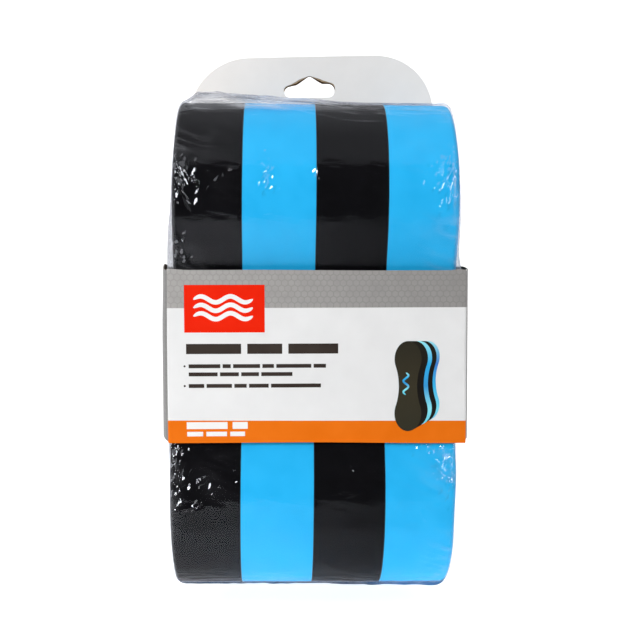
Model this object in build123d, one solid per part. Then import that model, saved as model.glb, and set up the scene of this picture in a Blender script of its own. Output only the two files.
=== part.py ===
from build123d import *
from math import sqrt
import os

# Youth pull buoy in its hanging retail pack.  Millimetres.
# Axes: X along the float's width (across the foam layers), Y from front to back, Z up.
# The sizes below are laid out from a point near the float's middle; the finished pieces are
# then moved so that the origin is the top of the hang slot, where a display hook carries it.

# --- Foam float: figure-of-eight outline, four layers side by side along X ---
layers = (                  # colour and thickness of each layer, from left to right
    ("black", 29.0),
    ("blue", 30.3),
    ("black", 29.6),
    ("blue", 29.7),
)
lobe_radius = 42.0          # half the depth of each lobe
lobe_height = 64.1          # lobe centres above and below the middle
waist_half_depth = 27.0     # half the depth at the waist
edge_round = 2.2            # outer edges of the two outside layers
bond_thickness = 0.2        # contact adhesive between layers
float_shift = -1.1          # the float sits a little left of the sleeve's middle, along X
float_drop = 0.6            # and a little lower than the height that the sizes start from
float_tilt = 0.6            # and leans this many degrees to the right inside the sleeve

# --- Shrink film round the float ---
film_gap = 0.2              # slack between foam and film
film_thickness = 0.15
seal_height = 1.2           # trim seal that runs round the film in the float's mid plane
seal_thickness = 0.4

# --- Card sleeve: front, two bowed sides and a tall back that carries the hang slot ---
card_thickness = 0.4
glue_thickness = 0.1
sleeve_half_width = 62.5
sleeve_top = 33.5
sleeve_bottom = -38.7
sleeve_front = 36.2         # outer face of the front panel, in front of the middle
side_bow = 4.0              # how far each side panel bows outward
flap_width = 18.0           # glue flap that closes the loop
flap_setback = 3.0          # flap is shorter than the sleeve at each end
panel_clearance = 0.1       # between the film and the card behind it

# --- Header: the back panel above the sleeve, with a facing ply glued to its front ---
header_top = 133.3
header_half_width = 58.3
header_shoulder = 60.0      # height where the taper from the sleeve's width ends
header_corner = 28.0
facing_bottom = 37.0

# --- Hang slot: a rounded slot with a raised middle ---
slot_width = 24.0
slot_height = 6.4
slot_total_height = 9.9     # to the top of the raised middle
slot_rise_half_width = 9.3  # of the raised middle, at half the height of the slot
slot_peak_round = 1.6
slot_bottom = 113.9
slot_offset = 0.8           # the facing's slot is cut this much higher than the back's

# --- Glue strips ---
facing_glue_width = 5.0
facing_glue_length = 90.0
facing_glue_heights = (44.0, 75.0, 106.0)

# --- Worked out from the sizes above ---
layer_count = len(layers)
float_width = sum(thickness for _, thickness in layers) + (layer_count - 1) * bond_thickness
film_outside = film_gap + film_thickness
facing_front = lobe_radius + film_outside + panel_clearance
back_front = facing_front + card_thickness + glue_thickness
back_outside = back_front + card_thickness
flap_back = facing_front + card_thickness
slot_top = slot_bottom + slot_total_height
origin = (0, (facing_front + back_outside) / 2, slot_top)
card_place = Pos(*[-c for c in origin])
float_place = card_place * Pos(float_shift, 0, -float_drop) * Rot(0, float_tilt, 0)


def figure_eight(grow):
    """Outline of the float in the Y-Z plane, made larger all round by grow."""
    lobe = lobe_radius + grow
    # Waist arc: centre on the Y axis, tangent to both lobes.
    waist_radius = (lobe_height**2 + waist_half_depth**2 - lobe_radius**2) / (
        2 * (lobe_radius - waist_half_depth)
    )
    waist_centre = waist_half_depth + waist_radius
    span = sqrt(waist_centre**2 + lobe_height**2)
    join_y = lobe * waist_centre / span
    join_z = lobe_height * (1 - lobe / span)
    waist = waist_half_depth + grow
    end = lobe_height + lobe
    lobe_top = ThreePointArc((join_y, join_z), (0, end), (-join_y, join_z))
    front = ThreePointArc((-join_y, join_z), (-waist, 0), (-join_y, -join_z))
    lobe_bottom = ThreePointArc((-join_y, -join_z), (0, -end), (join_y, -join_z))
    back = ThreePointArc((join_y, -join_z), (waist, 0), (join_y, join_z))
    return Plane.YZ * make_face(Curve() + [lobe_top, front, lobe_bottom, back])


def slab(grow, start, thickness):
    """A slice of the float's outline, from X = start."""
    return Pos(start, 0, 0) * extrude(figure_eight(grow), thickness)


def face_edges(solid, x):
    """The edges of the solid that lie in the plane X = x."""
    return solid.edges().filter_by_position(Axis.X, x - 0.01, x + 0.01)


def layer_start(index):
    """X of the layer's left face."""
    below = sum(thickness for _, thickness in layers[:index])
    return -float_width / 2 + below + index * bond_thickness


def foam_layer(index):
    start = layer_start(index)
    layer = slab(0, start, layers[index][1])
    if index == 0:
        layer = fillet(face_edges(layer, start), edge_round)
    if index == layer_count - 1:
        layer = fillet(face_edges(layer, float_width / 2), edge_round)
    return layer


def bond_film(index):
    return slab(0, layer_start(index + 1) - bond_thickness, bond_thickness)


def film_block(grow):
    """The float with its rounded ends, larger all round by grow."""
    half = float_width / 2 + grow
    block = slab(grow, -half, 2 * half)
    ends = face_edges(block, -half) + face_edges(block, half)
    return fillet(ends, edge_round + grow)


def shrink_film():
    outer = film_block(film_outside)
    half_width = float_width / 2 + film_outside + seal_height
    half_height = lobe_height + lobe_radius + film_outside + seal_height
    ring = RectangleRounded(2 * half_width, 2 * half_height, edge_round + seal_height)
    seal = extrude(Plane.XZ * ring, seal_thickness / 2, both=True)
    return outer + seal - film_block(film_gap)


def box_between(low, high):
    size = [b - a for a, b in zip(low, high)]
    middle = [(a + b) / 2 for a, b in zip(low, high)]
    return Pos(*middle) * Box(*size)


def sleeve_band():
    """Front, side panels and glue flap, as a strip of card bent round the waist."""
    half = sleeve_half_width
    middle = (flap_back - sleeve_front) / 2
    front = Line((-half, -sleeve_front), (half, -sleeve_front))
    right = ThreePointArc((half, -sleeve_front), (half + side_bow, middle), (half, flap_back))
    back = Line((half, flap_back), (-half, flap_back))
    left = ThreePointArc((-half, flap_back), (-half - side_bow, middle), (-half, -sleeve_front))
    outline = make_face(Curve() + [front, right, back, left])
    inside = offset(outline, -card_thickness, kind=Kind.INTERSECTION)
    height = sleeve_top - sleeve_bottom
    band = Pos(0, 0, sleeve_bottom) * extrude(outline - inside, height)
    flap_front = flap_back - card_thickness
    inner_half = half - card_thickness
    opening = box_between(
        (-inner_half, flap_front, sleeve_bottom),
        (inner_half - flap_width, flap_back, sleeve_top),
    )
    lower_trim = box_between(
        (inner_half - flap_width, flap_front, sleeve_bottom),
        (inner_half, flap_back, sleeve_bottom + flap_setback),
    )
    upper_trim = Pos(0, 0, height - flap_setback) * lower_trim
    return band - opening - lower_trim - upper_trim


def hang_slot(bottom):
    """The slot as a flat face in X-Z: a rounded slot with a raised middle."""
    body = Pos(0, bottom + slot_height / 2) * SlotOverall(slot_width, slot_height)
    base = bottom + slot_height / 2
    peak = bottom + slot_total_height + slot_peak_round * 0.45
    rise = make_face(
        Polyline(
            (-slot_rise_half_width, base),
            (slot_rise_half_width, base),
            (0, peak),
            close=True,
        )
    )
    rise = fillet(rise.vertices().sort_by(Axis.Y)[-1], slot_peak_round)
    return body + rise


def header_outline(bottom, bottom_half_width):
    """Header from the given height up: tapered flanks and two large round corners."""
    outline = make_face(
        Polyline(
            (-bottom_half_width, bottom),
            (bottom_half_width, bottom),
            (header_half_width, header_shoulder),
            (header_half_width, header_top),
            (-header_half_width, header_top),
            (-header_half_width, header_shoulder),
            close=True,
        )
    )
    corners = outline.vertices().group_by(Axis.Y)[-1]
    return fillet(corners, header_corner)


def upright_plate(flat, front):
    """A flat X-Z face given the thickness of the card, with its front at Y = front."""
    return Pos(0, front + card_thickness, 0) * extrude(Plane.XZ * flat, card_thickness)


def card_sleeve():
    half = sleeve_half_width
    panel = Pos(0, (sleeve_top + sleeve_bottom) / 2) * Rectangle(
        2 * half, sleeve_top - sleeve_bottom
    )
    flat = panel + header_outline(sleeve_top, half) - hang_slot(slot_bottom)
    back = upright_plate(flat, back_front)
    fold = box_between(
        (-half, facing_front, sleeve_bottom),
        (-half + card_thickness, back_front, sleeve_top),
    )
    return sleeve_band() + fold + back


def header_facing():
    flat = header_outline(facing_bottom, sleeve_half_width)
    return upright_plate(flat - hang_slot(slot_bottom + slot_offset), facing_front)


def seam_glue():
    """The strip that holds the glue flap to the inside of the back panel."""
    right = sleeve_half_width - card_thickness
    return box_between(
        (right - flap_width, flap_back, sleeve_bottom + flap_setback),
        (right - card_thickness, back_front, sleeve_top - flap_setback),
    )


def facing_glue():
    """Level strips between the facing and the back panel."""
    half = facing_glue_length / 2
    return [
        box_between((-half, flap_back, z), (half, back_front, z + facing_glue_width))
        for z in facing_glue_heights
    ]


def write(name, place, parts):
    """Writes one node: its solids, moved to their place in the pack."""
    solids = [place * solid for part in parts for solid in part.solids()]
    shape = solids[0] if len(solids) == 1 else Compound(children=solids)
    export_step(shape, f"parts/{name}.step")


os.makedirs("parts", exist_ok=True)
for number, (colour, _) in enumerate(layers):
    write(f"foam_layer_{number + 1}_{colour}", float_place, [foam_layer(number)])
for number in range(layer_count - 1):
    write(f"bond_film_{number + 1}", float_place, [bond_film(number)])
write("shrink_film", float_place, [shrink_film()])
write("card_sleeve", card_place, [card_sleeve()])
write("header_facing", card_place, [header_facing()])
write("sleeve_seam_glue", card_place, [seam_glue()])
write("header_facing_glue", card_place, facing_glue())
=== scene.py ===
import math

import bmesh
import bpy
import numpy as np
from mathutils import Matrix, Vector
from mathutils.geometry import tessellate_polygon


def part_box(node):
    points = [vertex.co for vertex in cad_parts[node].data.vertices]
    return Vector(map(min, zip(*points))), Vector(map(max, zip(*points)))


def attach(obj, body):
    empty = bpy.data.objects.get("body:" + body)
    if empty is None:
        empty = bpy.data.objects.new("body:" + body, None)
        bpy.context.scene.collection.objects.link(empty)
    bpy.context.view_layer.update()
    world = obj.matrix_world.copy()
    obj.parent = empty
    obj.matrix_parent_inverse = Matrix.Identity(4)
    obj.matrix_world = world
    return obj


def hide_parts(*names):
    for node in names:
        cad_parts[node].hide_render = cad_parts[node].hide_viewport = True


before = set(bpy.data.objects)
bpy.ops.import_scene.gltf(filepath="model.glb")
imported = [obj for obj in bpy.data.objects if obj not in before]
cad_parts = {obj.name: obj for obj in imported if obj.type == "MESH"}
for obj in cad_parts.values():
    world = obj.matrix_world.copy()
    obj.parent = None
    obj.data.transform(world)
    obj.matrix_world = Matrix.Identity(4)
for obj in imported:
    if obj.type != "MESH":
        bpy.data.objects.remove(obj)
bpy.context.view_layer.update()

# A pull buoy in its retail pack: four layers of foam in clear shrink film, a printed card
# sleeve round the waist, and behind it a tall back panel with a white header and a hang slot.

# ---------------------------------------------------------------------------------------
# Sizes.  Everything below is in millimetres, laid out from the float's middle as the CAD
# model is: X across the foam layers, Y from front to back, Z up.
# ---------------------------------------------------------------------------------------
MM = 0.001
LAYERS = (
    ("foam_layer_1_black", 29.0),
    ("foam_layer_2_blue", 30.3),
    ("foam_layer_3_black", 29.6),
    ("foam_layer_4_blue", 29.7),
)
BOND = 0.2
FLOAT_HALF = (sum(thickness for _, thickness in LAYERS) + 3 * BOND) / 2
LOBE_RADIUS = 42.0
LOBE_HEIGHT = 64.1
WAIST = 27.0
FLOAT_END = LOBE_HEIGHT + LOBE_RADIUS
FLOAT_TILT = math.radians(0.6)
EDGE_ROUND = 2.2
SEAM_ROUND = 0.15

CARD = 0.4
SLEEVE_HALF = 62.5
SLEEVE_TOP = 33.5
SLEEVE_BOTTOM = -38.7
SLEEVE_FRONT = -36.2
FLAP_WIDTH = 18.0
FACING_FRONT = 42.45
BACK_FRONT = 42.95
HEADER_TOP = 133.3
HEADER_HALF = 58.3
HEADER_SHOULDER = 60.0
HEADER_CORNER = 28.0
FACING_BOTTOM = 37.0
SLOT_WIDTH = 24.0
SLOT_HEIGHT = 6.4
SLOT_TOTAL = 9.9
SLOT_RISE_HALF = 9.3
SLOT_PEAK_ROUND = 1.6
SLOT_BOTTOM = 113.9
SLOT_TEAR = 1.5           # of the facing, past the slot in the back card
SLOT_DARK = 0.85          # width of the strip of painted shade along the slot's upper edge in the back card
SLOT_SHADE_THICKNESS = 0.04             # thickness of that strip
SLOT_SHADE_FRONT = 0.06       # its front, ahead of the back card
GLUE = 0.1                # the strips of glue between the header's two cards
GLUE_HALF = 45.0
GLUE_WIDTH = 5.0
GLUE_LEVELS = (44.0, 75.0, 106.0)

bond_low, bond_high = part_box("bond_film_2")
float_centre = (bond_low + bond_high) / 2
sleeve_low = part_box("card_sleeve")[0]
middle = Vector((0, float_centre.y, sleeve_low.z - SLEEVE_BOTTOM * MM))
CARD_PLACE = Matrix.Translation(middle) @ Matrix.Scale(MM, 4)
FLOAT_PLACE = (
    Matrix.Translation(float_centre) @ Matrix.Rotation(FLOAT_TILT, 4, "Y") @ Matrix.Scale(MM, 4)
)


# ---------------------------------------------------------------------------------------
# Numbers: noise and soft steps, on whole arrays
# ---------------------------------------------------------------------------------------
def lattice(i, j, k, seed):
    value = np.sin(i * 127.1 + j * 311.7 + k * 74.7 + seed * 53.3) * 43758.5453
    return value - np.floor(value)


def noise(points, seed):
    """Smooth noise from 0 to 1 at each row of points."""
    cell = np.floor(points)
    part = points - cell
    part = part * part * (3 - 2 * part)
    total = np.zeros(len(points))
    for corner in np.ndindex(2, 2, 2):
        weight = np.prod(np.where(np.array(corner) == 1, part, 1 - part), axis=1)
        total += weight * lattice(*(cell + corner).T, seed)
    return total


def ridges(points, seed, sharp=3):
    """Noise with sharp crests at 1 and soft valleys at 0."""
    return (1 - np.abs(2 * noise(points, seed) - 1)) ** sharp


def bell(value, centre, width):
    return np.exp(-(((value - centre) / width) ** 2))


def step(value, start, end):
    t = np.clip((value - start) / (end - start), 0, 1)
    return t * t * (3 - 2 * t)


def along(points, direction, length, width):
    """Points in a frame whose first axis is direction, stretched so that noise runs along it."""
    first = np.array(direction, float) / np.linalg.norm(direction)
    second = np.cross((0, 1, 0), first)
    third = np.cross(first, second)
    return np.stack([points @ first / length, points @ second / width, points @ third / width], 1)


# ---------------------------------------------------------------------------------------
# Materials
# ---------------------------------------------------------------------------------------
FACET = 0.00075           # metres across a crushed facet of the film
FACET_LENGTH = 3.2        # times its width
FACET_SLANT = 0.45
FACET_SPREAD = (0.6, 0, 0.5)


def new_material(name):
    mat = bpy.data.materials.new(name)
    mat.use_nodes = True
    return mat, mat.node_tree, mat.node_tree.nodes["Principled BSDF"]


def put(tree, socket, value):
    """Gives an input a value of its own, or links it to another node's output."""
    if isinstance(value, bpy.types.NodeSocket):
        tree.links.new(value, socket)
    else:
        socket.default_value = value


def node(tree, kind, **values):
    """A new node. Each value is one of the node's settings or of its inputs."""
    made = tree.nodes.new(kind)
    for key, value in values.items():
        if hasattr(made, key):
            setattr(made, key, value)
        else:
            put(tree, made.inputs[key.replace("_", " ")], value)
    return made


def math_node(tree, operation, *values, kind="ShaderNodeMath"):
    made = node(tree, kind, operation=operation)
    for socket, value in zip(made.inputs, values):
        put(tree, socket, value)
    return made.outputs[0]


def vector_node(tree, operation, *values):
    return math_node(tree, operation, *values, kind="ShaderNodeVectorMath")


def scaled_vector(tree, vector, factor):
    made = node(tree, "ShaderNodeVectorMath", operation="SCALE", Vector=vector, Scale=factor)
    return made.outputs[0]


def split_vector(tree, vector):
    """A vector's three numbers, as outputs named X, Y and Z."""
    return node(tree, "ShaderNodeSeparateXYZ", Vector=vector).outputs


def object_place(tree):
    return node(tree, "ShaderNodeTexCoord").outputs["Object"]


def print_place(tree):
    """Where a point lies in the flat layout that its card or print carries."""
    return split_vector(tree, node(tree, "ShaderNodeUVMap", uv_map="print").outputs[0])


def attribute(tree, name):
    return node(tree, "ShaderNodeAttribute", attribute_name=name).outputs["Fac"]


def grain(tree, size, detail=3.0, stretch=(1, 1, 1), roughness=0.5):
    """Noise whose features are about size metres across."""
    scale = [1 / (size * s) for s in stretch]
    place = node(tree, "ShaderNodeMapping", Vector=object_place(tree), Scale=scale).outputs[0]
    noisy = {"Vector": place, "Scale": 1.0, "Detail": detail, "Roughness": roughness}
    return node(tree, "ShaderNodeTexNoise", **noisy).outputs["Fac"]


def fading(tree, value, start, end, low=0.0, high=1.0):
    """A number that goes softly from low to high as value goes from start to end."""
    made = node(tree, "ShaderNodeMapRange", interpolation_type="SMOOTHSTEP", Value=value)
    for key, number in (("From Min", start), ("From Max", end), ("To Min", low), ("To Max", high)):
        put(tree, made.inputs[key], number)
    return made.outputs["Result"]


def colour_between(tree, factor, low, high, start=0.3, end=0.7):
    """A colour that goes from low to high as factor goes from start to end."""
    ramp = node(tree, "ShaderNodeValToRGB", Fac=factor)
    for element, position, colour in zip(ramp.color_ramp.elements, (start, end), (low, high)):
        element.position = position
        element.color = (*colour, 1)
    return ramp.outputs["Color"]


def bumped(tree, height, strength, distance):
    """A surface's normal, turned by a bump."""
    made = node(tree, "ShaderNodeBump", Height=height, Strength=strength, Distance=distance)
    return made.outputs["Normal"]


def set_surface(tree, shader, colour, roughness, gloss, normal=None):
    put(tree, shader.inputs["Base Color"], colour)
    put(tree, shader.inputs["Roughness"], roughness)
    put(tree, shader.inputs["Specular IOR Level"], gloss)
    if normal is not None:
        put(tree, shader.inputs["Normal"], normal)


def mixed(tree, factor, first, second):
    """A shader that is the first where factor is 0, and the second where it is 1."""
    made = node(tree, "ShaderNodeMixShader")
    for socket, value in zip(made.inputs, (factor, first.outputs[0], second.outputs[0])):
        put(tree, socket, value)
    return made


def foam_material(name, low, high, roughness, gloss):
    """Closed-cell foam: soft mottling, and cells too fine to see singly."""
    mat, tree, shader = new_material(name)
    colour = colour_between(tree, grain(tree, 0.009, 4), low, high)
    cells = bumped(tree, grain(tree, 0.0006, 2), 0.35, 0.0001)
    set_surface(tree, shader, colour, roughness, gloss, cells)
    return mat


def card_material(name, low, high, roughness, fibre=0.0007, gloss=0.3):
    """Board: faint cloudiness and fibres."""
    mat, tree, shader = new_material(name)
    colour = colour_between(tree, grain(tree, 0.012, 5), low, high)
    fibres = bumped(tree, grain(tree, fibre, 3, (2, 1, 1)), 0.2, 0.00008)
    set_surface(tree, shader, colour, roughness, gloss, fibres)
    return mat


def facets(tree, normal, density):
    """Turns a normal by a chance amount in some small cells, as in crushed film, round the way
    that the attribute lean gives. Density, from 0 to 1, says how many of the cells turn.
    Returns the new normal, and 1 in those cells and 0 elsewhere."""
    place = object_place(tree)
    wander = node(tree, "ShaderNodeTexNoise", Vector=place, Scale=1 / (2.5 * FACET), Detail=1.0)
    shift = vector_node(tree, "MULTIPLY", wander.outputs["Color"], (FACET, FACET, FACET))
    mapping = node(
        tree,
        "ShaderNodeMapping",
        vector_type="TEXTURE",
        Vector=vector_node(tree, "ADD", place, shift),
        Scale=(FACET, FACET, FACET_LENGTH * FACET),
        Rotation=(0, FACET_SLANT, 0),
    )
    voronoi = node(tree, "ShaderNodeTexVoronoi", Vector=mapping.outputs[0], Scale=1.0)
    cells = voronoi.outputs["Color"]
    turned = math_node(tree, "GREATER_THAN", density, split_vector(tree, cells)["Y"])
    centred = vector_node(tree, "SUBTRACT", cells, (0.5, 0.5, 0.5))
    spread = vector_node(tree, "MULTIPLY", centred, FACET_SPREAD)
    lean = node(tree, "ShaderNodeAttribute", attribute_name="lean").outputs["Vector"]
    tilt = scaled_vector(tree, vector_node(tree, "ADD", spread, lean), turned)
    return vector_node(tree, "NORMALIZE", vector_node(tree, "ADD", normal, tilt)), turned


def film_material():
    """Clear film: seen straight on it is nearly gone, and it mirrors more as it turns away.
    Attributes say where it is gathered and milky, with a painted highlight line near its right
    edge (haze_and_painted_light), where it is crushed into sharp little facets (crumple), which
    way those lean (lean), and where its mirror is turned down as painted shade, in a band just
    above the sleeve and towards the bottom right (mirror_shade)."""
    mat, tree, shader = new_material("clear_film")
    tree.nodes.remove(shader)
    streaks = grain(tree, 0.0035, 5, (3.5, 1, 1), 0.62)
    creases = math_node(tree, "ADD", streaks, grain(tree, 0.014, 2))
    surface, turned = facets(tree, bumped(tree, creases, 0.5, 0.00035), attribute(tree, "crumple"))
    facing = node(tree, "ShaderNodeLayerWeight", Blend=0.5, Normal=surface).outputs["Facing"]
    through = colour_between(tree, facing, (0.985, 0.988, 0.995), (0.52, 0.53, 0.60), 0.78, 0.97)
    clear = node(tree, "ShaderNodeBsdfTransparent", Color=through)
    gloss = node(
        tree, "ShaderNodeBsdfGlossy", Color=(0.9, 0.92, 1, 1), Roughness=0.02, Normal=surface
    )
    milk = node(tree, "ShaderNodeBsdfDiffuse", Color=(0.78, 0.80, 0.86, 1))
    mirror = math_node(tree, "MULTIPLY_ADD", math_node(tree, "POWER", facing, 5.0), 0.26, 0.022)
    mirror = math_node(tree, "MULTIPLY_ADD", turned, 0.11, mirror)
    unshaded = math_node(tree, "SUBTRACT", 1.0, attribute(tree, "mirror_shade"))
    film = mixed(tree, math_node(tree, "MULTIPLY", mirror, unshaded), clear, gloss)
    film = mixed(tree, attribute(tree, "haze_and_painted_light"), film, milk)
    tree.links.new(film.outputs[0], tree.nodes["Material Output"].inputs["Surface"])
    return mat


def seal_material():
    """The trim seal: film gathered into a crinkled line. Its milky part is painted dark grey as
    shade, and blue as painted shade under the right-hand blue layer, where the attribute tone
    says so."""
    mat, tree, shader = new_material("film_trim_seal_painted_shade")
    tree.nodes.remove(shader)
    clear = node(tree, "ShaderNodeBsdfTransparent", Color=(0.97, 0.975, 0.99, 1))
    cloudy = math_node(tree, "MULTIPLY_ADD", grain(tree, 0.004, 3), 0.4, attribute(tree, "tone"))
    # Painted shade: the milky part is dark grey, and blue where tone is high.
    colour = colour_between(tree, cloudy, (0.04, 0.05, 0.075), (0.035, 0.15, 0.34), 0.1, 1.0)
    milk = node(tree, "ShaderNodeBsdfDiffuse", Color=colour)
    film = mixed(tree, attribute(tree, "haze_and_painted_light"), clear, milk)
    tree.links.new(film.outputs[0], tree.nodes["Material Output"].inputs["Surface"])
    return mat


def honeycomb_material(name, low, high, cell, fade):
    """Grey print with a honeycomb of slightly lighter cells, each cell millimetres wide. The
    grey deepens towards the front's right edge, down to fade times its value."""
    mat, tree, shader = new_material(name)
    place = print_place(tree)
    across = math_node(tree, "DIVIDE", place["X"], cell)
    up = math_node(tree, "DIVIDE", place["Y"], cell)
    tall = math.sqrt(3)

    def from_middle(value, shift, period):
        """How far a value is from the middle of its period."""
        wrapped = math_node(tree, "FLOORED_MODULO", math_node(tree, "ADD", value, shift), period)
        return math_node(tree, "ABSOLUTE", math_node(tree, "SUBTRACT", wrapped, period / 2))

    def hexagon(shift_x, shift_y):
        """How far a point is from the middle of its cell, 0.5 at the cell's sides."""
        x = from_middle(across, shift_x, 1.0)
        y = from_middle(up, shift_y, tall)
        half_x = math_node(tree, "MULTIPLY", x, 0.5)
        slant = math_node(tree, "ADD", half_x, math_node(tree, "MULTIPLY", y, tall / 2))
        return math_node(tree, "MAXIMUM", x, slant)

    nearest = math_node(tree, "MINIMUM", hexagon(0, 0), hexagon(0.5, tall / 2))
    inside = fading(tree, nearest, 0.48, 0.36)
    clouds = math_node(tree, "MULTIPLY", grain(tree, 0.0045), 1.1)
    soft = math_node(tree, "MULTIPLY", inside, clouds)
    grey = colour_between(tree, soft, low, high, 0.0, 0.7)
    deepen = fading(tree, place["X"], -SLEEVE_HALF, SLEEVE_HALF, 1.0, fade)
    set_surface(tree, shader, scaled_vector(tree, grey, deepen), 0.45, 0.2)
    return mat


def gradient_material(name, colours):
    """Printed picture of foam: the colours follow each other from top to bottom."""
    mat, tree, shader = new_material(name)
    ramp = node(tree, "ShaderNodeValToRGB", Fac=print_place(tree)["Y"])
    last = len(colours) - 1
    for index in range(1, last):
        ramp.color_ramp.elements.new(index / last)
    for element in ramp.color_ramp.elements:
        element.color = (*colours[round(element.position * last)], 1)
    set_surface(tree, shader, ramp.outputs["Color"], 0.45, 0.08)
    return mat


MATERIALS = {
    "black": foam_material(
        "foam_black", (0.0018, 0.0018, 0.0025), (0.003, 0.003, 0.004), 0.75, 0.05
    ),
    "blue": foam_material("foam_blue", (0.014, 0.455, 0.88), (0.021, 0.495, 0.93), 0.7, 0.12),
    "bond": foam_material("dried_adhesive", (0.01, 0.09, 0.17), (0.02, 0.12, 0.2), 0.4, 0.5),
    "film": film_material(),
    "seal": seal_material(),
    "white": card_material("coated_white_card", (0.765, 0.765, 0.765), (0.805, 0.805, 0.805), 0.45),
    "header": card_material("header_white_card", (0.825, 0.80, 0.775), (0.855, 0.83, 0.805), 0.55),
    # The card's brown inside, far darker than the bare ply: painted shade, used only where the card
    # lies in shade.
    "shaded_kraft": card_material("brown_card_painted_shade", (0.07, 0.042, 0.024), (0.12, 0.075, 0.043), 0.8),
    "bare": card_material(
        "bare_card_ply", (0.36, 0.24, 0.135), (0.62, 0.47, 0.31), 0.9, fibre=0.0012, gloss=0.1
    ),
    "edge": card_material("cut_card_edge", (0.55, 0.52, 0.47), (0.72, 0.70, 0.66), 0.8),
    "grey": honeycomb_material(
        "grey_honeycomb_print", (0.325, 0.315, 0.305), (0.39, 0.377, 0.366), 2.7, 0.76
    ),
    # A darker copy of the grey print: painted shade for the sleeve's sides and the back panel's low
    # part.
    "shaded_grey": honeycomb_material(
        "grey_print_painted_shade", (0.17, 0.168, 0.165), (0.205, 0.202, 0.198), 2.7, 0.8
    ),
    # Near-black brown: painted shade on the upper edge of the back panel's slot.
    "slot_shade": card_material(
        "slot_edge_painted_shade", (0.02, 0.009, 0.003), (0.06, 0.028, 0.011), 0.9, gloss=0.1
    ),
    "orange": card_material(
        "orange_print", (0.78, 0.155, 0.004), (0.83, 0.175, 0.008), 0.45, gloss=0.06
    ),
    "red": card_material(
        "red_print", (0.80, 0.014, 0.0015), (0.84, 0.020, 0.003), 0.45, gloss=0.05
    ),
    "ink": card_material(
        "dark_ink", (0.032, 0.022, 0.018), (0.045, 0.034, 0.028), 0.5, gloss=0.1
    ),
    "white_ink": card_material("white_ink", (0.84, 0.83, 0.82), (0.88, 0.87, 0.86), 0.45),
    "olive": gradient_material(
        "picture_face", [(0.032, 0.030, 0.019), (0.040, 0.034, 0.020), (0.026, 0.023, 0.015)]
    ),
    "picture_black": gradient_material(
        "picture_black", [(0.014, 0.012, 0.009), (0.008, 0.007, 0.006), (0.016, 0.014, 0.010)]
    ),
    "picture_light": gradient_material(
        "picture_light_blue",
        [(0.1, 0.6, 0.75), (0.25, 0.75, 0.85), (0.04, 0.3, 0.65)]
        + [(0.03, 0.42, 0.8), (0.3, 0.78, 0.85)],
    ),
    "picture_blue": gradient_material(
        "picture_blue",
        [(0.05, 0.3, 0.7), (0.2, 0.7, 0.85), (0.04, 0.45, 0.8)]
        + [(0.05, 0.2, 0.6), (0.3, 0.75, 0.85)],
    ),
    "glue": card_material("hot_glue", (0.55, 0.46, 0.28), (0.66, 0.57, 0.38), 0.3),
}


# ---------------------------------------------------------------------------------------
# Pieces
# ---------------------------------------------------------------------------------------
def add_piece(name, verts, faces, place, materials, face_material=None, smooth=True):
    mesh = bpy.data.meshes.new(name)
    mesh.from_pydata([tuple(v) for v in verts], [], faces)
    mesh.transform(place)
    for mat in materials:
        mesh.materials.append(MATERIALS[mat])
    if face_material is not None:
        mesh.polygons.foreach_set("material_index", face_material)
    mesh.polygons.foreach_set("use_smooth", [smooth] * len(mesh.polygons))
    mesh.update()
    obj = bpy.data.objects.new(name, mesh)
    bpy.context.scene.collection.objects.link(obj)
    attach(obj, "root")
    return obj


def arc(cx, cz, radius, start, end, steps):
    turn = np.radians(np.linspace(start, end, steps + 1))
    return [(cx + radius * math.cos(t), cz + radius * math.sin(t)) for t in turn]


def half_outline(grow, waist, lobe_steps, waist_steps):
    """Front half of the float's outline from top to bottom, as rows of (y, z)."""
    waist_radius = (LOBE_HEIGHT**2 + waist**2 - LOBE_RADIUS**2) / (2 * (LOBE_RADIUS - waist))
    centre = waist + waist_radius
    lean = math.atan2(LOBE_HEIGHT, centre)
    lobe = LOBE_RADIUS + grow
    turn = np.linspace(math.pi / 2, math.pi + lean, lobe_steps + 1)
    upper = np.stack([lobe * np.cos(turn), LOBE_HEIGHT + lobe * np.sin(turn)], 1)
    bend = np.linspace(lean, -lean, waist_steps + 1)[1:-1]
    radius = waist_radius - grow
    waist_part = np.stack([radius * np.cos(bend) - centre, radius * np.sin(bend)], 1)
    lower = upper[::-1] * (1, -1)
    return np.concatenate([upper, waist_part, lower])


def rounded_stations(start, end, start_round, end_round, round_steps, spacing, crowd=0.0):
    """Places along X with how far the outline pulls in there, for a block with round edges.
    They crowd together towards both ends as crowd goes from 0 to 1."""
    turn = np.linspace(math.pi / 2, 0, round_steps + 1)

    def rounding(edge, radius, inwards):
        """The stations of one round edge, from the block's end inwards."""
        reach = inwards * radius
        return [(edge + reach * (1 - math.sin(t)), -radius * (1 - math.cos(t))) for t in turn]

    low = rounding(start, start_round, 1)
    high = rounding(end, end_round, -1)[::-1]
    count = max(1, round((high[0][0] - low[-1][0]) / spacing))
    t = np.linspace(0, 1, count + 1)[1:-1]
    t = t - crowd * np.sin(2 * math.pi * t) / (2 * math.pi)
    between = low[-1][0] + (high[0][0] - low[-1][0]) * t
    return low + [(x, 0.0) for x in between] + high


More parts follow.
